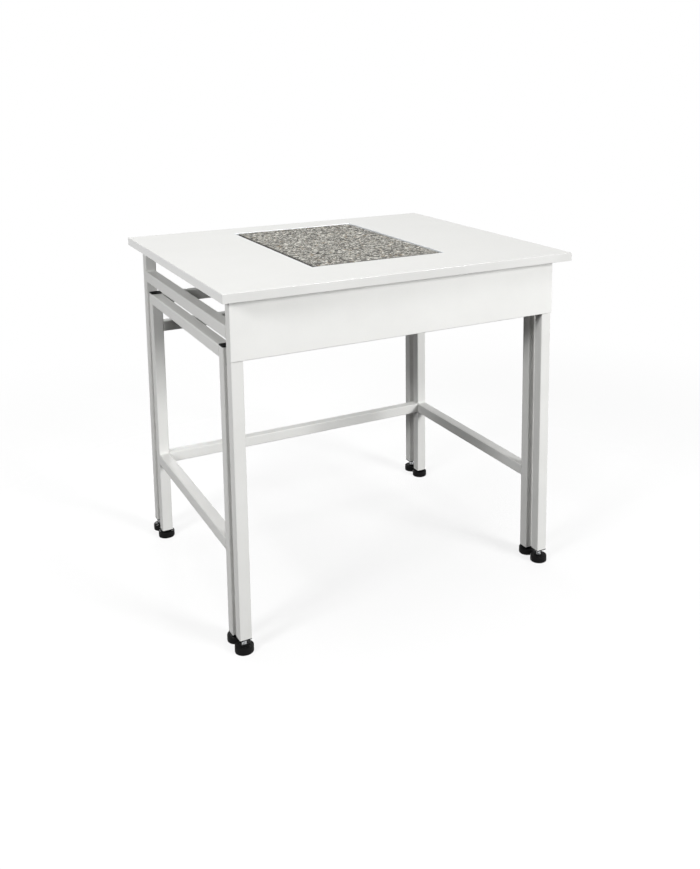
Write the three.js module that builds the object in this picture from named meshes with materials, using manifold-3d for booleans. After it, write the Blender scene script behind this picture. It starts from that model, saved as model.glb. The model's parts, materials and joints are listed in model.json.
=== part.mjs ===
// Balance table: a granite weighing slab on a frame of its own, standing inside a work table
// that never touches it. Millimetres, +Z up, +Y to the back, +X to the right, floor at z = 0.
import * as THREE from "three";
import { mergeVertices } from "three/addons/utils/BufferGeometryUtils.js";
import Module from "manifold-3d";

// Overall size, over the worktop and from the floor to its top face
const tableWidth = 800;
const tableDepth = 700;
const tableHeight = 740;

// Worktop board and its edge strips
const boardThickness = 18;
const bandThickness = 2;
const sideOverhang = 25;
const frontOverhang = 39;
const backOverhang = 33;

// Granite slab in the worktop's cut-out
const slabWidth = 300;
const slabLength = 460;
const slabThickness = 60;
const slabChamfer = 3;
const slabGap = 8;
const cutoutFrontMargin = 146;

// Square steel tube of both frames
const tubeSize = 25;
const tubeWall = 1.5;
const tubeCorner = 2.5;

// Front apron: a folded sheet panel
const apronHeight = 123;
const apronSheet = 2;
const apronReturn = 15;

// Outer frame: rail heights and the angles that hold the worktop
const backRailDrop = 186;
const frameClearance = 20;
const angleLeg = 20;
const angleSheet = 2;
const screwHoleDiameter = 5;
const screwHoleEndMargin = 60;

// Inner frame: slab supports and stretchers
const bearerHeight = 50;
const bearerInset = 50;
const damperDiameter = 32;
const damperHeight = 13;
const damperChamfer = 1.5;
const damperEndInset = 60;
const stretcherHeight = 192;

// Plastic caps on the inner legs
const capFlange = 2;
const capDepth = 12;

// Levelling feet
const padDiameter = 38;
const padHeight = 16;
const padShoulder = 4;
const padToeChamfer = 2;
const padClearance = 7;
const bossWall = 4;
const bossRise = 2;
const socketFloor = 6;
const stemDiameter = 10;
const stemLength = 50;
const stemChamfer = 1;
const outerStemShown = 12;
const innerStemShown = 0.5;
const plugFlange = 2;
const plugDepth = 25;

// Gap kept between pieces that seat on or in each other
const fit = 0.3;

// Facets
const cornerSteps = 1;
const roundSteps = 24;
const stemSteps = 16;

// Levels
const boardBottom = tableHeight - boardThickness;
const slabBottom = tableHeight - slabThickness;
const bearerTop = slabBottom - fit - damperHeight - fit;
const innerTop = bearerTop - bearerHeight - fit;
const capTop = innerTop + fit + capFlange;
const outerRailBottom = capTop + frameClearance;
const backRailBottom = boardBottom - backRailDrop - tubeSize;
const outerLegTop = boardBottom - fit;
const outerLegBottom = padHeight + outerStemShown + plugFlange + fit;
const innerLegBottom = padHeight + innerStemShown + plugFlange + fit;

// Plan: leg centres. The feet side by side set the pitch between the two frames' legs.
const halfTube = tubeSize / 2;
const legPitch = padDiameter + padClearance;
const legX = tableWidth / 2 - sideOverhang - halfTube;
const outerFrontY = -tableDepth / 2 + frontOverhang + halfTube;
const outerBackY = tableDepth / 2 - backOverhang - halfTube;
const innerFrontY = outerFrontY + legPitch;
const innerBackY = outerBackY - legPitch;
const cutoutWidth = slabWidth + 2 * slabGap;
const cutoutLength = slabLength + 2 * slabGap;
const slabY = -tableDepth / 2 + cutoutFrontMargin + cutoutLength / 2;
const bearerX = slabWidth / 2 - bearerInset;

const wasm = await Module();
wasm.setup();

function toSolid(geometry) {
  const plain = geometry.clone();
  plain.deleteAttribute("normal");
  plain.deleteAttribute("uv");
  const merged = mergeVertices(plain, 1e-4);
  const mesh = new wasm.Mesh({
    numProp: 3,
    vertProperties: merged.attributes.position.array,
    triVerts: new Uint32Array(merged.index.array),
  });
  return new wasm.Manifold(mesh);
}

function toGeometry(solid) {
  const mesh = solid.getMesh();
  const geometry = new THREE.BufferGeometry();
  geometry.setAttribute("position", new THREE.BufferAttribute(mesh.vertProperties, 3));
  geometry.setIndex(new THREE.BufferAttribute(mesh.triVerts, 1));
  const faceted = geometry.toNonIndexed();
  faceted.computeVertexNormals();
  return faceted;
}

const finishes = {
  laminate: { color: 0xf1f1ef, roughness: 0.45, metalness: 0 },
  band: { color: 0xdfe1e0, roughness: 0.5, metalness: 0 },
  coat: { color: 0xe3e3df, roughness: 0.5, metalness: 0.1 },
  panel: { color: 0xeeeeec, roughness: 0.45, metalness: 0.1 },
  granite: { color: 0x8f8b84, roughness: 0.35, metalness: 0 },
  rubber: { color: 0x121212, roughness: 0.8, metalness: 0 },
  plastic: { color: 0x151515, roughness: 0.55, metalness: 0 },
  zinc: { color: 0xc9ced2, roughness: 0.3, metalness: 1 },
};

function addPiece(group, name, geometry, finish, position = [0, 0, 0]) {
  const mesh = new THREE.Mesh(geometry, new THREE.MeshStandardMaterial(finishes[finish]));
  mesh.name = name;
  mesh.position.set(...position);
  group.add(mesh);
  return mesh;
}

// A rectangle about the origin, with rounded corners if a radius is given
function rectangle(width, height, radius = 0, Kind = THREE.Shape) {
  const x = width / 2;
  const y = height / 2;
  const outline = new Kind();
  if (radius <= 0) {
    outline.moveTo(-x, -y).lineTo(x, -y).lineTo(x, y).lineTo(-x, y).closePath();
    return outline;
  }
  const corners = [[1, -1], [1, 1], [-1, 1], [-1, -1]];
  corners.forEach(([sideX, sideY], index) => {
    const start = -Math.PI / 2 + (index * Math.PI) / 2;
    const centreX = sideX * (x - radius);
    const centreY = sideY * (y - radius);
    outline.absarc(centreX, centreY, radius, start, start + Math.PI / 2, false);
  });
  outline.closePath();
  return outline;
}

function extrude(shape, depth, steps = cornerSteps) {
  return new THREE.ExtrudeGeometry(shape, { depth, bevelEnabled: false, curveSegments: steps });
}

// A body of revolution about +Z from [radius, height] points that start and end on the axis
function turned(profile, steps) {
  const points = profile.map(([radius, height]) => new THREE.Vector2(radius, height));
  return new THREE.LatheGeometry(points, steps).rotateX(Math.PI / 2);
}

// Steel tube along +Z with rounded corners
function tube(length, width = tubeSize, height = tubeSize) {
  const section = rectangle(width, height, tubeCorner);
  const inside = Math.max(tubeCorner - tubeWall, fit);
  section.holes.push(rectangle(width - 2 * tubeWall, height - 2 * tubeWall, inside, THREE.Path));
  return extrude(section, length);
}

function addUpright(group, name, x, y, bottom, top) {
  addPiece(group, name, tube(top - bottom), "coat", [x, y, bottom]);
}

// Rails run between two leg faces, with the seating gap at each end
function addRailAlongX(group, name, y, bottom) {
  const length = 2 * (legX - halfTube - fit);
  const rail = addPiece(group, name, tube(length), "coat", [-length / 2, y, bottom + halfTube]);
  rail.rotation.y = Math.PI / 2;
}

function addRailAlongY(group, name, x, frontY, backY, bottom) {
  const start = frontY + halfTube + fit;
  const length = backY - halfTube - fit - start;
  const rail = addPiece(group, name, tube(length), "coat", [x, start, bottom + halfTube]);
  rail.rotation.x = -Math.PI / 2;
}

const sides = [["left", -1], ["right", 1]];

// Worktop: board, strip round its outer edge, strip round the cut-out
function addWorktop(group) {
  const strip = bandThickness + fit;
  const board = rectangle(tableWidth - 2 * strip, tableDepth - 2 * strip);
  const cut = rectangle(cutoutWidth + 2 * strip, cutoutLength + 2 * strip, 0, THREE.Path);
  cut.curves.forEach((line) => {
    line.v1.y += slabY;
    line.v2.y += slabY;
  });
  board.holes.push(cut);
  addPiece(group, "worktop_board", extrude(board, boardThickness), "laminate", [0, 0, boardBottom]);

  const rim = rectangle(tableWidth, tableDepth);
  rim.holes.push(
    rectangle(tableWidth - 2 * bandThickness, tableDepth - 2 * bandThickness, 0, THREE.Path),
  );
  addPiece(group, "worktop_edge_band", extrude(rim, boardThickness), "band", [0, 0, boardBottom]);

  const lining = rectangle(cutoutWidth + 2 * bandThickness, cutoutLength + 2 * bandThickness);
  lining.holes.push(rectangle(cutoutWidth, cutoutLength, 0, THREE.Path));
  addPiece(group, "cutout_edge_band", extrude(lining, boardThickness), "band", [0, slabY, boardBottom]);
}

// Apron: a sheet over the front legs' faces, folded back along its top and bottom between them
function addApron(group) {
  const backFace = outerFrontY - halfTube - fit;
  const width = 2 * (legX + halfTube);
  const returnWidth = 2 * (legX - halfTube - fit);
  const sheet = new THREE.BoxGeometry(width, apronSheet, apronHeight);
  let panel = toSolid(sheet.translate(0, -apronSheet / 2, apronHeight / 2));
  for (const level of [apronSheet / 2, apronHeight - apronSheet / 2]) {
    const fold = new THREE.BoxGeometry(returnWidth, apronReturn + apronSheet, apronSheet);
    panel = panel.add(toSolid(fold.translate(0, (apronReturn - apronSheet) / 2, level)));
  }
  const bottom = outerLegTop - apronHeight;
  addPiece(group, "front_apron", toGeometry(panel), "panel", [0, backFace, bottom]);
}

// Steel angles along the legs' inner faces, behind the apron's fold, drilled for the worktop's screws
function addFixingAngle(group, side, sideName) {
  const front = outerFrontY - halfTube + apronReturn;
  const length = outerBackY + halfTube - front;
  const section = new THREE.Shape();
  section.moveTo(0, 0).lineTo(angleSheet, 0).lineTo(angleSheet, angleLeg - angleSheet);
  section.lineTo(angleLeg, angleLeg - angleSheet).lineTo(angleLeg, angleLeg).lineTo(0, angleLeg);
  section.closePath();
  let angle = toSolid(extrude(section, length).rotateX(Math.PI / 2).translate(0, length, 0));
  for (const along of [screwHoleEndMargin, length / 2, length - screwHoleEndMargin]) {
    const drill = new THREE.CylinderGeometry(
      screwHoleDiameter / 2, screwHoleDiameter / 2, 2 * angleLeg, stemSteps,
    );
    drill.rotateX(Math.PI / 2).translate((angleSheet + angleLeg) / 2, along, angleLeg);
    angle = angle.subtract(toSolid(drill));
  }
  const name = `worktop_fixing_angle_${sideName}`;
  const mesh = addPiece(group, name, toGeometry(angle), "coat");
  mesh.position.set(side * (legX - halfTube - fit), front, outerLegTop - angleLeg);
  mesh.scale.x = -side;
}

// Black plastic plug: a flange outside the tube's end and a square body inside it, pointing up
function plugSolid(flange, depth) {
  const inside = tubeSize - 2 * tubeWall - 2 * fit;
  const plate = toSolid(extrude(rectangle(tubeSize, tubeSize, tubeCorner), flange));
  const body = toSolid(extrude(rectangle(inside, inside), flange + fit + depth));
  return plate.add(body);
}

// One levelling foot: plug in the leg's end, threaded stem, round pad on the floor
function addFoot(group, place, x, y, legBottom) {
  const stemRadius = stemDiameter / 2;
  const bore = new THREE.CylinderGeometry(stemRadius + fit, stemRadius + fit, 4 * plugDepth, stemSteps);
  const plug = plugSolid(plugFlange, plugDepth).subtract(toSolid(bore.rotateX(Math.PI / 2)));
  const plugBottom = legBottom - fit - plugFlange;
  addPiece(group, `foot_plug_${place}`, toGeometry(plug), "plastic", [x, y, plugBottom]);

  const stem = turned([
    [0, 0],
    [stemRadius - stemChamfer, 0],
    [stemRadius, stemChamfer],
    [stemRadius, stemLength - stemChamfer],
    [stemRadius - stemChamfer, stemLength],
    [0, stemLength],
  ], stemSteps);
  addPiece(group, `foot_stem_${place}`, stem, "zinc", [x, y, socketFloor + fit]);

  const padRadius = padDiameter / 2;
  const bossRadius = stemRadius + bossWall;
  const shoulderTop = padHeight - bossRise;
  const pad = turned([
    [0, 0],
    [padRadius - padToeChamfer, 0],
    [padRadius, padToeChamfer],
    [padRadius, shoulderTop - padShoulder],
    [padRadius - padShoulder, shoulderTop],
    [bossRadius, shoulderTop],
    [bossRadius, padHeight],
    [stemRadius + fit, padHeight],
    [stemRadius + fit, socketFloor],
    [0, socketFloor],
  ], roundSteps);
  addPiece(group, `foot_pad_${place}`, pad, "rubber", [x, y, 0]);
}

// Outer work table
const outerTable = new THREE.Group();
addWorktop(outerTable);
addApron(outerTable);
addRailAlongX(outerTable, "outer_back_rail", outerBackY, backRailBottom);
for (const [sideName, side] of sides) {
  const x = side * legX;
  addRailAlongY(outerTable, `outer_side_rail_${sideName}`, x, outerFrontY, outerBackY, outerRailBottom);
  addFixingAngle(outerTable, side, sideName);
  for (const [endName, y] of [["front", outerFrontY], ["back", outerBackY]]) {
    addUpright(outerTable, `outer_leg_${endName}_${sideName}`, x, y, outerLegBottom, outerLegTop);
    addFoot(outerTable, `outer_${endName}_${sideName}`, x, y, outerLegBottom);
  }
}

// Inner table that carries the slab
const innerTable = new THREE.Group();
const innerRailBottom = innerTop - tubeSize;
addRailAlongX(innerTable, "inner_front_rail", innerFrontY, innerRailBottom);
addRailAlongX(innerTable, "inner_back_rail", innerBackY, innerRailBottom);
addRailAlongX(innerTable, "back_stretcher", innerBackY, stretcherHeight);
for (const [sideName, side] of sides) {
  const x = side * legX;
  addRailAlongY(innerTable, `inner_side_rail_${sideName}`, x, innerFrontY, innerBackY, innerRailBottom);
  addRailAlongY(innerTable, `side_stretcher_${sideName}`, x, innerFrontY, innerBackY, stretcherHeight);
  for (const [endName, y] of [["front", innerFrontY], ["back", innerBackY]]) {
    const place = `${endName}_${sideName}`;
    addUpright(innerTable, `inner_leg_${place}`, x, y, innerLegBottom, innerTop);
    addFoot(innerTable, `inner_${place}`, x, y, innerLegBottom);
    const cap = addPiece(innerTable, `leg_cap_${place}`, toGeometry(plugSolid(capFlange, capDepth)), "plastic");
    cap.position.set(x, y, capTop);
    cap.rotation.x = Math.PI;
  }

  // Bearer across the front and back rails, with a rubber damper near each end of the slab
  const bearerStart = innerFrontY - halfTube;
  const bearerLength = innerBackY + halfTube - bearerStart;
  const bearer = addPiece(
    innerTable, `slab_bearer_${sideName}`, tube(bearerLength, tubeSize, bearerHeight), "coat",
  );
  bearer.position.set(side * bearerX, bearerStart, bearerTop - bearerHeight / 2);
  bearer.rotation.x = -Math.PI / 2;
  for (const [endName, end] of [["front", -1], ["back", 1]]) {
    const radius = damperDiameter / 2;
    const damper = turned([
      [0, 0],
      [radius - damperChamfer, 0],
      [radius, damperChamfer],
      [radius, damperHeight - damperChamfer],
      [radius - damperChamfer, damperHeight],
      [0, damperHeight],
    ], roundSteps);
    const y = slabY + end * (slabLength / 2 - damperEndInset);
    addPiece(innerTable, `slab_damper_${endName}_${sideName}`, damper, "rubber", [
      side * bearerX, y, bearerTop + fit,
    ]);
  }
}

// Granite slab with a chamfer along its edges
const slab = new THREE.ExtrudeGeometry(rectangle(slabWidth, slabLength), {
  depth: slabThickness - 2 * slabChamfer,
  bevelEnabled: true,
  bevelThickness: slabChamfer,
  bevelSize: slabChamfer,
  bevelOffset: -slabChamfer,
  bevelSegments: 1,
});
addPiece(innerTable, "granite_slab", slab, "granite", [0, slabY, slabBottom + slabChamfer]);

const balanceTable = new THREE.Group();
balanceTable.add(outerTable, innerTable);

export default balanceTable;
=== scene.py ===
import json
import math

import bmesh
import bpy
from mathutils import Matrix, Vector

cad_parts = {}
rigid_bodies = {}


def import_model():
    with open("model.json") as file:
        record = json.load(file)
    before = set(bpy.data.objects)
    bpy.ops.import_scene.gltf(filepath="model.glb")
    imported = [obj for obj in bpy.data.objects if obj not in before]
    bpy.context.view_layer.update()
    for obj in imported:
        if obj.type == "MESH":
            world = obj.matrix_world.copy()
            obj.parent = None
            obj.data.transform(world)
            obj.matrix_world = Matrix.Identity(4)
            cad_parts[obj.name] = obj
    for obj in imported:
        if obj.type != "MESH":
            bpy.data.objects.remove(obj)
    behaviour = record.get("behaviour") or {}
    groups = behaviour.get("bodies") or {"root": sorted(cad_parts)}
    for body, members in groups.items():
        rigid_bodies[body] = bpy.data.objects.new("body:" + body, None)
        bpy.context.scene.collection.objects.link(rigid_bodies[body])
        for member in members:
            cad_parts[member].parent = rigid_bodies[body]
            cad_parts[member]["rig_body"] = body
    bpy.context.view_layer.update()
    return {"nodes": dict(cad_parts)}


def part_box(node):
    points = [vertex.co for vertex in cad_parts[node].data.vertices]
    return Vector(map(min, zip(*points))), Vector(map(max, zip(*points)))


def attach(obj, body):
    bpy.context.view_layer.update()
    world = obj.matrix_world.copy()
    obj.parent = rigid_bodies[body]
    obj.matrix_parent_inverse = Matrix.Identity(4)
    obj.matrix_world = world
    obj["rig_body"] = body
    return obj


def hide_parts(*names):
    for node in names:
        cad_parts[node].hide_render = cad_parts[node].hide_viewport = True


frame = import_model()
scene = bpy.context.scene
scene.view_settings.view_transform = 'Standard'
sides = ("left", "right")
corners = [f"{end}_{side}" for end in ("front", "back") for side in sides]
tables = ("outer", "inner")
alongX, alongY, alongZ = range(3)
print("frame loaded:", len(frame["nodes"]), "nodes")


# selecting and finishing, used by every piece below

nearSet = {"along": .98, "facing": .99, "place": 1e-5, "weld": 1e-6}  # how near counts as there
quarterTurn = [math.radians(a) for a in range(0, 91, 15)]


def clearSelection():
    if bpy.context.object and bpy.context.object.mode != 'OBJECT':
        bpy.ops.object.mode_set(mode='OBJECT')
    bpy.ops.object.select_all(action='DESELECT')


def takeUp(piece):  # the one selected and active object
    clearSelection()
    piece.select_set(True)
    bpy.context.view_layer.objects.active = piece


def openEdit(piece):
    takeUp(piece)
    bpy.ops.object.mode_set(mode='EDIT')
    bpy.ops.mesh.select_all(action='DESELECT')


def closeEdit():
    bpy.ops.object.mode_set(mode='OBJECT')


def pickFaces(piece, wanted):
    bpy.ops.mesh.select_mode(type='FACE')
    bpy.ops.mesh.select_all(action='DESELECT')
    mesh = bmesh.from_edit_mesh(piece.data)
    for face in mesh.faces:
        face.select_set(bool(wanted(face)))
    bmesh.update_edit_mesh(piece.data)


def pickEdges(piece, wanted):
    bpy.ops.mesh.select_mode(type='EDGE')
    bpy.ops.mesh.select_all(action='DESELECT')
    mesh = bmesh.from_edit_mesh(piece.data)
    for edge in mesh.edges:
        edge.select_set(bool(wanted(edge)))
    bmesh.update_edit_mesh(piece.data)


def runsAlong(edge, axis):
    way = edge.verts[1].co - edge.verts[0].co
    return abs(way[axis]) > nearSet["along"] * way.length


def liesAt(edge, axis, place):
    return all(abs(corner.co[axis] - place) < nearSet["place"] for corner in edge.verts)


def looksUp(face):
    return face.normal.z > nearSet["facing"]


def looksDown(face):
    return face.normal.z < -nearSet["facing"]


def nameNew(name):  # the object that the last operator added
    piece = bpy.context.object
    piece.name = piece.data.name = name
    return piece


def addBlock(name, low, high):  # a cube drawn out to its two corners
    clearSelection()
    low, high = Vector(low), Vector(high)
    bpy.ops.mesh.primitive_cube_add(size=1, location=(low + high) / 2)
    piece = nameNew(name)
    piece.scale = high - low
    bpy.ops.object.transform_apply(location=True, rotation=True, scale=True)
    return piece


def addModifier(piece, kind, **values):
    takeUp(piece)
    step = piece.modifiers.new(kind.lower(), kind)
    for key, value in values.items():
        setattr(step, key, value)
    bpy.ops.object.modifier_apply(modifier=step.name)


def cutWith(piece, tool, way='DIFFERENCE'):
    addModifier(piece, 'BOOLEAN', operation=way, object=tool, solver='EXACT')
    bpy.data.objects.remove(tool)


def bevelPicked(width, segments):
    bpy.ops.mesh.bevel(offset=width, segments=segments, affect='EDGES')


def softenEdges(piece, width, segments=2, angle=30):
    addModifier(piece, 'BEVEL', width=width, segments=segments, limit_method='ANGLE',
                angle_limit=math.radians(angle), use_clamp_overlap=True)


def extrudePicked(height):
    bpy.ops.mesh.extrude_region_move(TRANSFORM_OT_translate={"value": (0, 0, height)})


def turnOutwards():  # every face of the open mesh
    bpy.ops.mesh.select_all(action='SELECT')
    bpy.ops.mesh.normals_make_consistent(inside=False)


def addOutline(name, points):  # an open line in the XZ plane, point by point
    clearSelection()
    bpy.ops.mesh.primitive_plane_add(size=.001)
    piece = nameNew(name)
    bpy.ops.object.mode_set(mode='EDIT')
    bpy.ops.mesh.select_mode(type='VERT')
    bpy.ops.mesh.select_all(action='SELECT')
    bpy.ops.mesh.merge(type='CENTER')
    bpy.ops.transform.translate(value=(points[0][0], 0, points[0][1]))
    for (r0, z0), (r1, z1) in zip(points, points[1:]):
        bpy.ops.mesh.extrude_vertices_move(
            TRANSFORM_OT_translate={"value": (r1 - r0, 0, z1 - z0)})
    return piece


def addTurned(name, points, steps):  # the outline spun round the Z axis
    piece = addOutline(name, points)
    bpy.ops.mesh.select_all(action='SELECT')
    bpy.ops.mesh.spin(steps=steps, angle=math.tau, center=(0, 0, 0), axis=(0, 0, 1))
    bpy.ops.mesh.select_all(action='SELECT')
    bpy.ops.mesh.remove_doubles(threshold=nearSet["weld"])
    turnOutwards()
    closeEdit()
    return piece


def copyPiece(source, name, move):
    takeUp(source)
    bpy.ops.object.duplicate(linked=False)
    piece = nameNew(name)
    bpy.ops.transform.translate(value=move)
    bpy.ops.object.transform_apply(location=True, rotation=True, scale=True)
    return piece


def finishPiece(piece, paint, node=None, body=None, angle=40):
    takeUp(piece)
    bpy.ops.object.shade_smooth_by_angle(angle=math.radians(angle))
    addModifier(piece, 'WEIGHTED_NORMAL', keep_sharp=True)
    piece.data.materials.clear()
    piece.data.materials.append(paint)
    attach(piece, body or frame["nodes"][node]["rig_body"])
    if node:
        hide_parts(node)


# camera

cameraSet = {
    "place": (-.9415, -1.9976, 1.1398),
    "turn": (80.8655, .1871, -29.5986),
    "lens": 40.0414,
    "sensor": 36,
    "shift": (-.07075, -.24108),
    "farthest": 60,
}
bpy.ops.object.camera_add(location=cameraSet["place"],
                          rotation=[math.radians(a) for a in cameraSet["turn"]])
camera = bpy.context.object
camera.data.sensor_width = cameraSet["sensor"]
camera.data.lens = cameraSet["lens"]
camera.data.shift_x, camera.data.shift_y = cameraSet["shift"]
camera.data.clip_end = cameraSet["farthest"]
scene.camera = camera
print("camera set")


# materials

def newPaint(name):
    paint = bpy.data.materials.new(name)
    paint.use_nodes = True
    return paint, paint.node_tree, paint.node_tree.nodes["Principled BSDF"]


def addNode(tree, kind, place=(0, 0), **values):
    node = tree.nodes.new(kind)
    node.location = place
    for key, value in values.items():
        setattr(node, key, value)
    return node


def setInputs(node, **values):
    for key, value in values.items():
        node.inputs[key.replace("_", " ")].default_value = value


def addRamp(tree, stops, place=(0, 0), blend='LINEAR'):
    ramp = addNode(tree, 'ShaderNodeValToRGB', place)
    ramp.color_ramp.interpolation = blend
    points = ramp.color_ramp.elements
    while len(points) < len(stops):
        points.new(.5)
    for point, (where, shade) in zip(points, stops):
        point.position = where
        point.color = (*shade, 1)
    return ramp


def addMix(tree, share, first, second, place, blend='MIX'):  # each is a socket or a plain value
    mix = addNode(tree, 'ShaderNodeMix', place, data_type='RGBA', blend_type=blend)
    sockets = (mix.inputs[0], mix.inputs[6], mix.inputs[7])  # the ones for colours, as output 2
    for given, socket in zip((share, first, second), sockets):
        if isinstance(given, bpy.types.NodeSocket):
            tree.links.new(given, socket)
        else:
            socket.default_value = given
    return mix.outputs[2]


def linkRough(tree, value, shader, rough, place, span=(.3, .7)):  # span of the value in use
    spread = addNode(tree, 'ShaderNodeMapRange', place)
    setInputs(spread, From_Min=span[0], From_Max=span[1], To_Min=rough[0], To_Max=rough[1])
    tree.links.new(value, spread.inputs["Value"])
    tree.links.new(spread.outputs[0], shader.inputs["Roughness"])


def linkBump(tree, height, shader, look, place):
    bump = addNode(tree, 'ShaderNodeBump', place)
    setInputs(bump, Strength=look["bump"], Distance=look["depth"])
    tree.links.new(height, bump.inputs["Height"])
    tree.links.new(bump.outputs[0], shader.inputs["Normal"])


def newGroup(name, inputs, outputs):
    tree = bpy.data.node_groups.new(name, 'ShaderNodeTree')
    sockets = tree.interface
    for label, value in inputs.items():
        socket = sockets.new_socket(name=label, in_out='INPUT', socket_type='NodeSocketFloat')
        socket.default_value = value
    for label in outputs:
        sockets.new_socket(name=label, in_out='OUTPUT', socket_type='NodeSocketFloat')
    given = addNode(tree, 'NodeGroupInput', (-900, 0))
    return tree, given, addNode(tree, 'NodeGroupOutput', (600, 0))


grainSet = {
    "scales": {"Grain": 700, "Patch": 6}, "speckScale": 2.3,
    "noises": {"Height": (2.5, .55), "Patches": (3, .6), "Specks": (1, .5)},  # detail, roughness
}


def makeGrain():  # fine skin of a coat or moulding, with broad soft patches over it
    tree, given, out = newGroup("surfaceGrain", grainSet["scales"], list(grainSet["noises"]))
    where = addNode(tree, 'ShaderNodeTexCoord', (-900, 300))
    finer = addNode(tree, 'ShaderNodeMath', (-700, -300), operation='MULTIPLY')
    finer.inputs[1].default_value = grainSet["speckScale"]
    tree.links.new(given.outputs["Grain"], finer.inputs[0])
    scales = (given.outputs["Grain"], given.outputs["Patch"], finer.outputs[0])
    for row, (label, (detail, roughness)) in enumerate(grainSet["noises"].items()):
        noise = addNode(tree, 'ShaderNodeTexNoise', (-500, 300 - 300 * row))
        setInputs(noise, Detail=detail, Roughness=roughness)
        tree.links.new(where.outputs["Object"], noise.inputs["Vector"])
        tree.links.new(scales[row], noise.inputs["Scale"])
        tree.links.new(noise.outputs[0], out.inputs[label])
    return tree


surfaceGrain = makeGrain()


def addGrain(tree, look, place):
    grain = addNode(tree, 'ShaderNodeGroup', place, node_tree=surfaceGrain)
    setInputs(grain, Grain=look["grain"], Patch=look["patch"])
    return grain.outputs["Height"], grain.outputs["Patches"], grain.outputs["Specks"]


skinSet = {"toneStops": (.3, .7), "fleckStops": (.35, .6), "ior": 1.47}


def makeSkinPaint(name, look):  # powder coat, laminate, plastic and rubber share this layout
    paint, tree, shader = newPaint(name)
    height, patches, specks = addGrain(tree, look, (-900, 0))
    darkAt, lightAt = skinSet["toneStops"]
    tone = addRamp(tree, ((darkAt, look["dark"]), (lightAt, look["light"])), (-600, 250))
    fleckAt, plainAt = skinSet["fleckStops"]
    fleck = addRamp(tree, ((fleckAt, (look["fleck"],) * 3), (plainAt, (1, 1, 1))), (-600, -50))
    tree.links.new(patches, tone.inputs[0])
    tree.links.new(specks, fleck.inputs[0])
    colour = addMix(tree, 1, tone.outputs[0], fleck.outputs[0], (-300, 250), 'MULTIPLY')
    tree.links.new(colour, shader.inputs["Base Color"])
    linkRough(tree, patches, shader, look["rough"], (-300, -50))
    linkBump(tree, height, shader, look, (-300, -350))
    setInputs(shader, IOR=skinSet["ior"], Specular_IOR_Level=look["gloss"])
    return paint


laminatePaint = makeSkinPaint("whiteLaminate", {
    "light": (.86, .86, .842), "dark": (.835, .835, .815), "fleck": .975, "rough": (.46, .56),
    "grain": 1500, "patch": 5, "bump": .08, "depth": .0002, "gloss": .08})
apronPaint = makeSkinPaint("apronPowderCoat", {
    "light": (.86, .86, .84), "dark": (.83, .83, .81), "fleck": .97, "rough": (.34, .42),
    "grain": 620, "patch": 9, "bump": .12, "depth": .0003, "gloss": .5})
framePaint = makeSkinPaint("framePowderCoat", {
    "light": (.84, .84, .82), "dark": (.80, .80, .778), "fleck": .965, "rough": (.33, .43),
    "grain": 620, "patch": 11, "bump": .14, "depth": .0003, "gloss": .14})
plasticPaint = makeSkinPaint("blackMoulding", {
    "light": (.007, .007, .0075), "dark": (.004, .004, .0045), "fleck": .8, "rough": (.38, .52),
    "grain": 900, "patch": 40, "bump": .16, "depth": .0003, "gloss": .03})
rubberPaint = makeSkinPaint("blackRubber", {
    "light": (.0065, .0065, .0065), "dark": (.0035, .0035, .0035), "fleck": .75,
    "rough": (.5, .66), "grain": 700, "patch": 60, "bump": .22, "depth": .0004, "gloss": .1})


stripSet = {
    "lines": (8, 8, 2600), "lineDetail": 2, "lineShare": .35, "toneStops": (.5, .95),
    "grain": 1100, "patch": 7, "bump": .08, "depth": .0002,
    "rough": (.3, .4), "gloss": .9, "coat": .8, "coatRough": .12,
}


def makeStripPaint(name, light, dark):  # edge strip, drawn with fine lines along its length
    paint, tree, shader = newPaint(name)
    where = addNode(tree, 'ShaderNodeTexCoord', (-1100, 0))
    stretch = addNode(tree, 'ShaderNodeMapping', (-900, 0))
    setInputs(stretch, Scale=stripSet["lines"])
    lines = addNode(tree, 'ShaderNodeTexNoise', (-700, 100))
    setInputs(lines, Scale=1, Detail=stripSet["lineDetail"])
    height, patches, _ = addGrain(tree, stripSet, (-700, -250))
    both = addNode(tree, 'ShaderNodeMath', (-500, 100), operation='MULTIPLY_ADD')
    both.inputs[1].default_value = stripSet["lineShare"]
    darkAt, lightAt = stripSet["toneStops"]
    tone = addRamp(tree, ((darkAt, dark), (lightAt, light)), (-300, 150))
    tree.links.new(where.outputs["Object"], stretch.inputs[0])
    tree.links.new(stretch.outputs[0], lines.inputs["Vector"])
    tree.links.new(lines.outputs[0], both.inputs[0])
    tree.links.new(patches, both.inputs[2])
    tree.links.new(both.outputs[0], tone.inputs[0])
    tree.links.new(tone.outputs[0], shader.inputs["Base Color"])
    linkRough(tree, patches, shader, stripSet["rough"], (-300, -100))
    linkBump(tree, height, shader, stripSet, (-300, -350))
    setInputs(shader, Specular_IOR_Level=stripSet["gloss"], Coat_Weight=stripSet["coat"],
              Coat_Roughness=stripSet["coatRough"])
    return paint


stripPaint = makeStripPaint("edgeStrip", (.715, .715, .698), (.665, .665, .648))
# the cutout strip is the same edge band drawn lighter and bluish: painted light and painted
# reflection on the wall of the gap round the slab
cutoutPaintedLightPaint = makeStripPaint("cutoutStripPaintedLight", (.88, .91, .93), (.83, .86, .88))


graniteSet = {
    "coarse": 175, "fine": 375, "wander": .004, "wanderScale": 420, "wanderDetail": 2,
    "cloudScale": 60, "cloudDetail": 4, "cloudStops": ((.46, (.08,) * 3), (.54, (.92,) * 3)),
    "grains": ((0, (.009, .009, .009)), (.19, (.062, .06, .054)), (.34, (.17, .166, .149)),
               (.50, (.31, .302, .27)), (.66, (.54, .527, .477)), (.83, (.9, .885, .815)),
               (.95, (.34, .265, .18))),
    "ior": 1.52, "gloss": .06,
}


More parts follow.
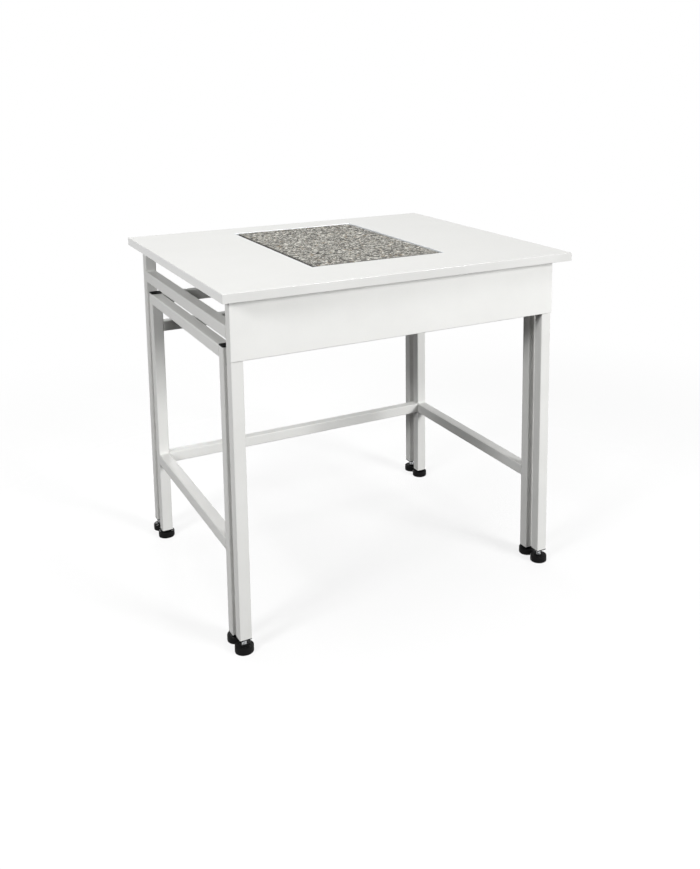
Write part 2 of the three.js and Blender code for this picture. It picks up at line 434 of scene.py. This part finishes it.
def makeGranitePaint(name, look):  # coarse and fine grains in turn
    paint, tree, shader = newPaint(name)
    where = addNode(tree, 'ShaderNodeTexCoord', (-1500, 0))
    drift = addNode(tree, 'ShaderNodeTexNoise', (-1300, -200))
    setInputs(drift, Scale=graniteSet["wanderScale"], Detail=graniteSet["wanderDetail"])
    push = addNode(tree, 'ShaderNodeVectorMath', (-1100, -200), operation='MULTIPLY_ADD')
    push.inputs[1].default_value = (graniteSet["wander"],) * 3
    tree.links.new(where.outputs["Object"], drift.inputs["Vector"])
    tree.links.new(drift.outputs["Color"], push.inputs[0])
    tree.links.new(where.outputs["Object"], push.inputs[2])
    gaps, tones = [], []
    for row, scale in enumerate((graniteSet["coarse"], graniteSet["fine"])):
        cells = addNode(tree, 'ShaderNodeTexVoronoi', (-850, 200 - 400 * row))
        setInputs(cells, Scale=scale, Randomness=1)
        split = addNode(tree, 'ShaderNodeSeparateColor', (-650, 200 - 400 * row))
        ramp = addRamp(tree, graniteSet["grains"], (-450, 200 - 400 * row), 'CONSTANT')
        tree.links.new(push.outputs[0], cells.inputs["Vector"])
        tree.links.new(cells.outputs["Color"], split.inputs[0])
        tree.links.new(split.outputs[row], ramp.inputs[0])
        gaps.append(cells.outputs["Distance"])
        tones.append(ramp.outputs[0])
    cloud = addNode(tree, 'ShaderNodeTexNoise', (-450, -600))
    setInputs(cloud, Scale=graniteSet["cloudScale"], Detail=graniteSet["cloudDetail"])
    share = addRamp(tree, graniteSet["cloudStops"], (-250, -600))
    tree.links.new(where.outputs["Object"], cloud.inputs["Vector"])
    tree.links.new(cloud.outputs[0], share.inputs[0])
    colour = addMix(tree, share.outputs[0], tones[0], tones[1], (-100, 100))
    if "dullingAndShade" in look:  # ground and sawn faces lose contrast; the sawn sides are also darkened as painted shade
        colour = addMix(tree, look["dullingAndShadeShare"], colour, (*look["dullingAndShade"], 1), (80, 100))
    tree.links.new(colour, shader.inputs["Base Color"])
    linkRough(tree, gaps[0], shader, look["rough"], (-100, -150), (0, 1))
    linkBump(tree, gaps[1], shader, look, (-100, -400))
    setInputs(shader, IOR=graniteSet["ior"], Specular_IOR_Level=graniteSet["gloss"])
    return paint


granitePaint = makeGranitePaint("greyGranite", {
    "rough": (.46, .6), "bump": .05, "depth": .0004})
arrisPaint = makeGranitePaint("groundArris", {
    "dullingAndShade": (.21, .204, .189), "dullingAndShadeShare": .8, "rough": (.55, .7), "bump": .12, "depth": .0004})
# sawn sides: dulled granite, darkened as painted shade for the dark gap round the slab
sawnShadedPaint = makeGranitePaint("sawnGraniteDarkened", {
    "dullingAndShade": (.072, .07, .065), "dullingAndShadeShare": .78, "rough": (.7, .85), "bump": .35, "depth": .0004})


zincSet = {
    "light": (.78, .79, .80), "dark": (.60, .61, .62), "toneStops": (.3, .65),
    "rough": (.2, .36), "grain": 900, "patch": 120, "bump": .06, "depth": .0002,
}


def makeZincPaint(name):
    paint, tree, shader = newPaint(name)
    height, patches, _ = addGrain(tree, zincSet, (-700, 0))
    darkAt, lightAt = zincSet["toneStops"]
    tone = addRamp(tree, ((darkAt, zincSet["dark"]), (lightAt, zincSet["light"])), (-400, 150))
    tree.links.new(patches, tone.inputs[0])
    tree.links.new(tone.outputs[0], shader.inputs["Base Color"])
    linkRough(tree, patches, shader, zincSet["rough"], (-400, -100))
    linkBump(tree, height, shader, zincSet, (-400, -350))
    setInputs(shader, Metallic=1)
    return paint


zincPaint = makeZincPaint("zincSteel")
print("materials made:", len(bpy.data.materials))


# worktop: laminated board and its two edge strips

worktopSet = {"strip": .002, "seam": .0001, "edgeRound": .0006, "edgeSteps": 3,
              "boardRound": .0002, "cutReach": .01}


def makeWorktop():
    low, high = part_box("worktop_edge_band")
    holeLow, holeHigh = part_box("cutout_edge_band")
    strip, seam, over = worktopSet["strip"], worktopSet["seam"], worktopSet["cutReach"]
    inset = Vector((strip + seam, strip + seam, 0))
    reach = Vector((seam, seam, over))
    board = addBlock("worktop_panel", low + inset, high - inset)
    cutWith(board, addBlock("tool", holeLow - reach, holeHigh + reach))
    softenEdges(board, worktopSet["boardRound"])
    finishPiece(board, laminatePaint, "worktop_board")

    wall = Vector((strip, strip, -over))
    for name, node, paint, a, b in (
            ("edge_strip", "worktop_edge_band", stripPaint, low, high),
            ("cutout_strip", "cutout_edge_band", cutoutPaintedLightPaint, holeLow, holeHigh)):
        band = addBlock(name, a, b)
        cutWith(band, addBlock("tool", a + wall, b - wall))
        softenEdges(band, worktopSet["edgeRound"], worktopSet["edgeSteps"])
        finishPiece(band, paint, node)


makeWorktop()
print("worktop made")


# front apron: sheet with rounded folds

apronSet = {"sheet": .002, "foldRound": .0017, "foldSteps": 5, "endInset": .0253,
            "edgeRound": .0004, "edgeSteps": 2, "edgeAngle": 60}


def makeApron():
    low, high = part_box("front_apron")
    sheet, inset = apronSet["sheet"], apronSet["endInset"]
    face = addBlock("apron_panel", low, (high.x, low.y + sheet, high.z))
    for bottom in (low.z, high.z - sheet):
        fold = addBlock("fold", (low.x + inset, low.y + sheet / 2, bottom),
                        (high.x - inset, high.y, bottom + sheet))
        cutWith(face, fold, 'UNION')
    openEdit(face)
    pickEdges(face, lambda e: runsAlong(e, alongX) and liesAt(e, alongY, low.y))
    bevelPicked(apronSet["foldRound"], apronSet["foldSteps"])
    closeEdit()
    softenEdges(face, apronSet["edgeRound"], apronSet["edgeSteps"], apronSet["edgeAngle"])
    finishPiece(face, apronPaint, "front_apron")


makeApron()
print("apron made")


# square tubes of both frames, open at their ends

tubeSet = {"wall": .0015, "corner": .0025, "cornerSteps": 6, "seat": .00025}


def makeTube(name, node, along, seats=True):
    low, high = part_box(node)
    if seats:  # rails reach the legs that they are welded to
        low[along] -= tubeSet["seat"]
        high[along] += tubeSet["seat"]
    tube = addBlock(name, low, high)
    openEdit(tube)
    pickFaces(tube, lambda f: abs(f.normal[along]) > nearSet["facing"])
    bpy.ops.mesh.delete(type='ONLY_FACE')
    pickEdges(tube, lambda e: runsAlong(e, along))
    bevelPicked(tubeSet["corner"], tubeSet["cornerSteps"])
    closeEdit()
    addModifier(tube, 'SOLIDIFY', thickness=tubeSet["wall"], offset=-1)
    finishPiece(tube, framePaint, node)


def makeFrames():
    for table in tables:
        for corner in corners:
            makeTube(f"leg_tube_{table}_{corner}", f"{table}_leg_{corner}", alongZ, False)
    for node in ("outer_back_rail", "inner_front_rail", "inner_back_rail", "back_stretcher"):
        makeTube(f"tube_{node}", node, alongX)
    for side in sides:
        for node in ("outer_side_rail", "inner_side_rail", "side_stretcher"):
            makeTube(f"tube_{node}_{side}", f"{node}_{side}", alongY)
        makeTube(f"tube_slab_bearer_{side}", f"slab_bearer_{side}", alongY, False)


makeFrames()
print("frame tubes made")


# weld beads where a rail meets a leg: a round run with a ripple at every step

weldSet = {"radius": .0019, "around": 10, "ripple": .82, "step": .0011, "fewest": 4,
           "endMargin": .0012, "smooth": 80}


def makeBead(name, start, end, body):
    way = end - start
    count = max(weldSet["fewest"], int(way.length / weldSet["step"] / 2) * 2)
    turn = (0, math.pi / 2, 0) if abs(way.x) > abs(way.y) else (math.pi / 2, 0, 0)
    clearSelection()
    bpy.ops.mesh.primitive_circle_add(vertices=weldSet["around"], radius=weldSet["radius"],
                                      fill_type='NGON', location=start, rotation=turn)
    bead = nameNew(name)
    bpy.ops.object.transform_apply(location=True, rotation=True, scale=True)
    bpy.ops.object.mode_set(mode='EDIT')
    bpy.ops.mesh.select_all(action='SELECT')
    for step in range(count):
        size = weldSet["ripple"] if step % 2 == 0 else 1 / weldSet["ripple"]
        bpy.ops.mesh.extrude_region_move(TRANSFORM_OT_translate={"value": way / count})
        bpy.ops.transform.resize(value=(size,) * 3)
    turnOutwards()
    closeEdit()
    finishPiece(bead, framePaint, body=body, angle=weldSet["smooth"])


def weldRail(node, along, faces):
    low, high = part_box(node)
    body = frame["nodes"][node]["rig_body"]
    across = alongY if along == alongX else alongX  # a rail lies level, its seams cross it
    for endName, place in (("a", low[along] - tubeSet["seat"]),
                           ("b", high[along] + tubeSet["seat"])):
        for face in faces:
            start, end = Vector((0, 0, 0)), Vector((0, 0, 0))
            start[along] = end[along] = place
            start.z = end.z = high.z if face == "top" else low.z
            start[across] = low[across] + tubeSet["corner"] + weldSet["endMargin"]
            end[across] = high[across] - tubeSet["corner"] - weldSet["endMargin"]
            makeBead(f"weld_{node}_{endName}_{face}", start, end, body)


def makeWelds():
    weldRail("outer_back_rail", alongX, ("top", "bottom"))
    weldRail("back_stretcher", alongX, ("top", "bottom"))
    for node in ("inner_front_rail", "inner_back_rail"):  # caps cover the legs' upper ends
        weldRail(node, alongX, ("bottom",))
    for side in sides:
        weldRail(f"outer_side_rail_{side}", alongY, ("top", "bottom"))
        weldRail(f"side_stretcher_{side}", alongY, ("top", "bottom"))
        weldRail(f"inner_side_rail_{side}", alongY, ("bottom",))


makeWelds()
print("welds made")


# black caps on the inner legs

capSet = {"corner": .0025, "cornerSteps": 5, "topRound": .0007, "topSteps": 3, "flange": .002,
          "rim": .0009, "dishStep": .0005, "dishDrop": .0004, "insert": .0019}


def makeCap(name, node):
    low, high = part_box(node)
    cap = addBlock(name, (low.x, low.y, high.z - capSet["flange"]), high)
    openEdit(cap)
    pickEdges(cap, lambda e: runsAlong(e, alongZ))
    bevelPicked(capSet["corner"], capSet["cornerSteps"])
    pickEdges(cap, lambda e: liesAt(e, alongZ, high.z))
    bevelPicked(capSet["topRound"], capSet["topSteps"])
    pickFaces(cap, looksUp)  # a shallow dish inside a rim
    bpy.ops.mesh.inset(thickness=capSet["rim"], depth=0)
    bpy.ops.mesh.inset(thickness=capSet["dishStep"], depth=-capSet["dishDrop"])
    pickFaces(cap, looksDown)  # the spigot inside the tube
    bpy.ops.mesh.inset(thickness=capSet["insert"], depth=0)
    extrudePicked(low.z - high.z + capSet["flange"])
    closeEdit()
    finishPiece(cap, plasticPaint, node)


for capCorner in corners:
    makeCap(f"leg_top_cap_{capCorner}", f"leg_cap_{capCorner}")
print("leg caps made")


# levelling feet: pad, threaded stem, plug in the leg's end

padSet = {"hollow": .0008, "hollowReach": (.45, .5), "foot": .0004, "toe": .0014, "toeShare": .35,
          "groove": .0003, "grooveAt": .0032, "shoulder": .0018, "boss": .009, "bossRise": .002,
          "bossFoot": (.0006, .0005), "bossRound": .0005, "bore": .0052, "boreRound": .0004,
          "socket": .006, "around": 56}
stemSet = {"pitch": .0015, "core": .00412, "crest": .0049, "steps": 20,
           "flank": ((0, 0), (0, .1), (1, .44), (1, .56), (0, .9), (0, 1)),  # crest or core, share
           "lead": 1.021, "weld": 1e-7, "smooth": 28}  # the lead keeps corners off the two cuts
plugSet = {"corner": .0025, "cornerSteps": 5, "round": .0004, "roundSteps": 3, "flange": .002,
           "insert": .002, "bore": .0053, "boreSteps": 40, "drill": .2}


def makePad():
    low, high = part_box("foot_pad_outer_front_left")
    radius = (high.x - low.x) / 2
    top = high.z - padSet["bossRise"]
    inner, outer = padSet["hollowReach"]
    toe, groove, at = padSet["toe"], padSet["groove"], padSet["grooveAt"]
    boss, bore, curve = padSet["boss"], padSet["bore"], padSet["bossRound"]
    footOut, footUp = padSet["bossFoot"]
    shoulder = [(radius - padSet["shoulder"] * (1 - math.cos(a)),
                 top - padSet["shoulder"] * (1 - math.sin(a))) for a in quarterTurn]
    outline = [(0, padSet["hollow"]), (radius * inner, padSet["hollow"]), (radius * outer, low.z),
               (radius - toe, low.z), (radius - padSet["foot"], toe * padSet["toeShare"]),
               (radius, toe), (radius, at - groove), (radius - groove, at), (radius, at + groove),
               *shoulder, (boss + footOut, top), (boss, top + footUp), (boss, high.z - curve),
               (boss - curve, high.z), (bore + padSet["boreRound"], high.z),
               (bore, high.z - padSet["boreRound"]), (bore, padSet["socket"]),
               (0, padSet["socket"])]
    return addTurned("padModel", outline, padSet["around"])


def makeStem():
    low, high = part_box("foot_stem_outer_front_left")
    pitch, steps = stemSet["pitch"], stemSet["steps"]
    radii = (stemSet["core"], stemSet["crest"])
    start = low.z - pitch * stemSet["lead"]
    stem = addOutline("stemModel", [(radii[k], start + pitch * z) for k, z in stemSet["flank"]])
    closeEdit()
    turns = math.ceil((high.z - low.z) / pitch) + 2
    addModifier(stem, 'SCREW', axis='Z', angle=math.tau, steps=steps, render_steps=steps,
                screw_offset=pitch, iterations=turns, use_merge_vertices=True,
                merge_threshold=nearSet["weld"])
    openEdit(stem)
    for height, keepBelow in ((low.z, False), (high.z, True)):
        bpy.ops.mesh.select_all(action='SELECT')
        bpy.ops.mesh.bisect(plane_co=(0, 0, height), plane_no=(0, 0, 1), use_fill=True,
                            threshold=nearSet["weld"], clear_inner=not keepBelow,
                            clear_outer=keepBelow)
    bpy.ops.mesh.select_all(action='SELECT')
    bpy.ops.mesh.remove_doubles(threshold=stemSet["weld"])
    turnOutwards()
    closeEdit()
    return stem


def makePlug(name, node):
    low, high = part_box(node)
    plug = addBlock(name, low, (high.x, high.y, low.z + plugSet["flange"]))
    openEdit(plug)
    pickEdges(plug, lambda e: runsAlong(e, alongZ))
    bevelPicked(plugSet["corner"], plugSet["cornerSteps"])
    pickEdges(plug, lambda e: liesAt(e, alongZ, low.z))
    bevelPicked(plugSet["round"], plugSet["roundSteps"])
    pickFaces(plug, looksUp)
    bpy.ops.mesh.inset(thickness=plugSet["insert"], depth=0)
    extrudePicked(high.z - low.z - plugSet["flange"])
    closeEdit()
    clearSelection()
    middle = ((low.x + high.x) / 2, (low.y + high.y) / 2, low.z)
    bpy.ops.mesh.primitive_cylinder_add(vertices=plugSet["boreSteps"], radius=plugSet["bore"],
                                        depth=plugSet["drill"], location=middle)
    cutWith(plug, bpy.context.object)
    finishPiece(plug, plasticPaint, node)


def makeFeet():
    pad, stem = makePad(), makeStem()
    for place in [f"{table}_{corner}" for table in tables for corner in corners]:
        low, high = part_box(f"foot_pad_{place}")
        move = ((low.x + high.x) / 2, (low.y + high.y) / 2, 0)
        finishPiece(copyPiece(pad, f"levelling_pad_{place}", move), rubberPaint,
                    f"foot_pad_{place}")
        finishPiece(copyPiece(stem, f"threaded_stem_{place}", move), zincPaint,
                    f"foot_stem_{place}", angle=stemSet["smooth"])
        makePlug(f"foot_socket_{place}", f"foot_plug_{place}")
    for model in (pad, stem):
        bpy.data.objects.remove(model)


makeFeet()
print("feet made")


# granite slab on its rubber dampers

slabSet = {"chamfer": .001, "soft": .00015, "softSteps": 2, "softAngle": 20,
           "sawnBelow": .2, "arrisBelow": .95}  # how far up a face of each kind may look
damperSet = {"waist": .0012, "waistSteps": 6, "lip": .0016, "lipRound": (.0004, .0005),
             "around": 48}


def makeSlab():
    low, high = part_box("granite_slab")
    slab = addBlock("slab_stone", low, high)
    openEdit(slab)
    pickEdges(slab, lambda e: liesAt(e, alongZ, high.z) or liesAt(e, alongZ, low.z))
    bevelPicked(slabSet["chamfer"], 1)
    closeEdit()
    softenEdges(slab, slabSet["soft"], slabSet["softSteps"], slabSet["softAngle"])
    finishPiece(slab, granitePaint, "granite_slab")
    openEdit(slab)
    sawn, arris = slabSet["sawnBelow"], slabSet["arrisBelow"]
    for paint, wanted in ((sawnShadedPaint, lambda f: f.normal.z < sawn),
                          (arrisPaint, lambda f: sawn <= f.normal.z < arris)):
        slab.data.materials.append(paint)
        pickFaces(slab, wanted)
        slab.active_material_index = len(slab.data.materials) - 1
        bpy.ops.object.material_slot_assign()
    closeEdit()


def makeDampers():
    low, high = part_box("slab_damper_front_left")
    radius, tall, lip = (high.x - low.x) / 2, high.z - low.z, damperSet["lip"]
    steps, (inward, upward) = damperSet["waistSteps"], damperSet["lipRound"]
    swell = [(radius - damperSet["waist"] * math.sin(math.pi * k / steps),
              lip + (tall - 2 * lip) * k / steps) for k in range(steps + 1)]
    outline = [(0, 0), (radius - lip, 0), (radius - inward, upward), *swell,
               (radius - inward, tall - upward), (radius - lip, tall), (0, tall)]
    model = addTurned("damperModel", outline, damperSet["around"])
    for corner in corners:
        a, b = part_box(f"slab_damper_{corner}")
        move = ((a.x + b.x) / 2, (a.y + b.y) / 2, a.z)
        puck = copyPiece(model, f"damper_puck_{corner}", move)
        finishPiece(puck, rubberPaint, f"slab_damper_{corner}")
    bpy.data.objects.remove(model)


makeSlab()
makeDampers()
print("slab and dampers made")


# angles under the worktop and their screws

screwSet = {"head": .0045, "tall": .0028, "rim": .35, "around": 28, "smooth": 35,
            "shank": .002, "shankRise": .004, "cross": (.0052, .0011, .0014), "cutReach": .001,
            "ends": .06, "aside": .001, "sheet": .002}


def makeScrewModel():
    radius, tall, rim = screwSet["head"], screwSet["tall"], screwSet["rim"]
    shank, rise = screwSet["shank"], screwSet["shankRise"]
    dome = [(radius * math.cos(a), -tall * rim - tall * (1 - rim) * math.sin(a))
            for a in quarterTurn]
    outline = [(0, rise), (shank, rise), (shank, 0), (radius, 0), *dome[:-1], (0, -tall)]
    screw = addTurned("screwModel", outline, screwSet["around"])
    long, wide, deep = screwSet["cross"]
    for x, y in ((long, wide), (wide, long)):
        cutWith(screw, addBlock("tool", (-x / 2, -y / 2, -tall - screwSet["cutReach"]),
                                (x / 2, y / 2, -tall + deep)))
    return screw


def makeAngles():
    screw = makeScrewModel()
    margin = screwSet["ends"]
    for side, aside in zip(sides, (screwSet["aside"], -screwSet["aside"])):
        node = f"worktop_fixing_angle_{side}"
        low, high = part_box(node)
        angle = frame["nodes"][node]
        angle.data.materials.clear()
        angle.data.materials.append(framePaint)
        x = (low.x + high.x) / 2 + aside
        for number, y in enumerate((low.y + margin, (low.y + high.y) / 2, high.y - margin), 1):
            move = (x, y, high.z - screwSet["sheet"])
            head = copyPiece(screw, f"worktop_screw_{side}_{number}", move)
            finishPiece(head, zincPaint, body="outer_table", angle=screwSet["smooth"])
    bpy.data.objects.remove(screw)


makeAngles()
print("angles and screws made")


# floor, backdrop and light

studioSet = {
    "floorSize": 24, "floorTone": .26, "floorClear": .78, "floorFade": (1.0, 2.1),
    "floorBounce": .03, "ambient": .05, "ambientTint": (1, 1, .99),
}
lampSet = {  # the back lamp stands low, so that the tops don't mirror it
    "key": {"place": (2.1, -4.4, 1.9), "aim": (0, -.2, .42), "size": 1.4, "power": 215},
    "fill": {"place": (-3.2, -1.4, 2.2), "aim": (0, -.1, .42), "size": 1.0, "power": 79},
    "top": {"place": (-.1, .6, 3.1), "aim": (-.1, .1, .4), "size": 2.6, "power": 44},
    "back": {"place": (.4, 4.0, .4), "aim": (0, .2, .42), "size": .5, "power": 70},
}


def seenDirectly(tree, place):  # camera, mirror and glass rays together
    path = addNode(tree, 'ShaderNodeLightPath', (place[0] - 400, place[1]))
    first = addNode(tree, 'ShaderNodeMath', (place[0] - 200, place[1]), operation='MAXIMUM')
    second = addNode(tree, 'ShaderNodeMath', place, operation='MAXIMUM')
    tree.links.new(path.outputs["Is Camera Ray"], first.inputs[0])
    tree.links.new(path.outputs["Is Glossy Ray"], first.inputs[1])
    tree.links.new(first.outputs[0], second.inputs[0])
    tree.links.new(path.outputs["Is Transmission Ray"], second.inputs[1])
    return second


def addPlain(tree, kind, shade, place):  # a shader of one grey
    node = addNode(tree, kind, place)
    setInputs(node, Color=(shade, shade, shade, 1))
    return node


def makeFloor():
    clearSelection()
    bpy.ops.mesh.primitive_plane_add(size=studioSet["floorSize"], location=(0, 0, 0))
    floor = bpy.context.object
    floor.name = "studioFloor"
    paint = bpy.data.materials.new("studioFloor")
    paint.use_nodes = True
    tree = paint.node_tree
    tree.nodes.clear()
    out = addNode(tree, 'ShaderNodeOutputMaterial', (700, 0))
    shown = addPlain(tree, 'ShaderNodeBsdfDiffuse', studioSet["floorTone"], (0, 200))
    # white shows through the floor, and so does a foot let down
    clear = addPlain(tree, 'ShaderNodeBsdfTransparent', studioSet["floorClear"], (0, 50))
    both = addNode(tree, 'ShaderNodeAddShader', (200, 150))
    where = addNode(tree, 'ShaderNodeTexCoord', (-400, -250))
    away = addNode(tree, 'ShaderNodeVectorMath', (-200, -250), operation='LENGTH')
    fade = addNode(tree, 'ShaderNodeMapRange', (0, -250), interpolation_type='SMOOTHSTEP')
    fadeFrom, fadeTo = studioSet["floorFade"]
    setInputs(fade, From_Min=fadeFrom, From_Max=fadeTo)
    white = addNode(tree, 'ShaderNodeEmission', (200, 0))
    plain = addNode(tree, 'ShaderNodeMixShader', (350, 150))
    bounce = addPlain(tree, 'ShaderNodeBsdfDiffuse', studioSet["floorBounce"], (350, -100))
    pick = addNode(tree, 'ShaderNodeMixShader', (550, 0))
    tree.links.new(shown.outputs[0], both.inputs[0])
    tree.links.new(clear.outputs[0], both.inputs[1])
    tree.links.new(where.outputs["Object"], away.inputs[0])
    tree.links.new(away.outputs["Value"], fade.inputs["Value"])
    tree.links.new(fade.outputs[0], plain.inputs[0])
    tree.links.new(both.outputs[0], plain.inputs[1])
    tree.links.new(white.outputs[0], plain.inputs[2])
    tree.links.new(seenDirectly(tree, (200, 400)).outputs[0], pick.inputs[0])
    tree.links.new(bounce.outputs[0], pick.inputs[1])
    tree.links.new(plain.outputs[0], pick.inputs[2])
    tree.links.new(pick.outputs[0], out.inputs["Surface"])
    floor.data.materials.append(paint)


def makeWorld():
    world = bpy.data.worlds.new("studio")
    scene.world = world
    world.use_nodes = True
    tree = world.node_tree
    tree.nodes.clear()
    out = addNode(tree, 'ShaderNodeOutputWorld', (600, 0))
    seen = addPlain(tree, 'ShaderNodeBackground', 1, (200, 100))
    soft = addNode(tree, 'ShaderNodeBackground', (200, -100))
    setInputs(soft, Color=(*studioSet["ambientTint"], 1), Strength=studioSet["ambient"])
    pick = addNode(tree, 'ShaderNodeMixShader', (400, 0))
    tree.links.new(seenDirectly(tree, (200, 350)).outputs[0], pick.inputs[0])
    tree.links.new(soft.outputs[0], pick.inputs[1])
    tree.links.new(seen.outputs[0], pick.inputs[2])
    tree.links.new(pick.outputs[0], out.inputs["Surface"])


def addSoftbox(name, look):
    bpy.ops.object.light_add(type='AREA', location=look["place"])
    lamp = nameNew(name)
    lamp.data.shape = 'SQUARE'
    lamp.data.size = look["size"]
    lamp.data.energy = look["power"]
    way = Vector(look["aim"]) - Vector(look["place"])
    lamp.rotation_euler = way.to_track_quat('-Z', 'Y').to_euler()


makeFloor()
makeWorld()
for lampName, lampLook in lampSet.items():
    addSoftbox(lampName + "Softbox", lampLook)
print("studio made")

clearSelection()
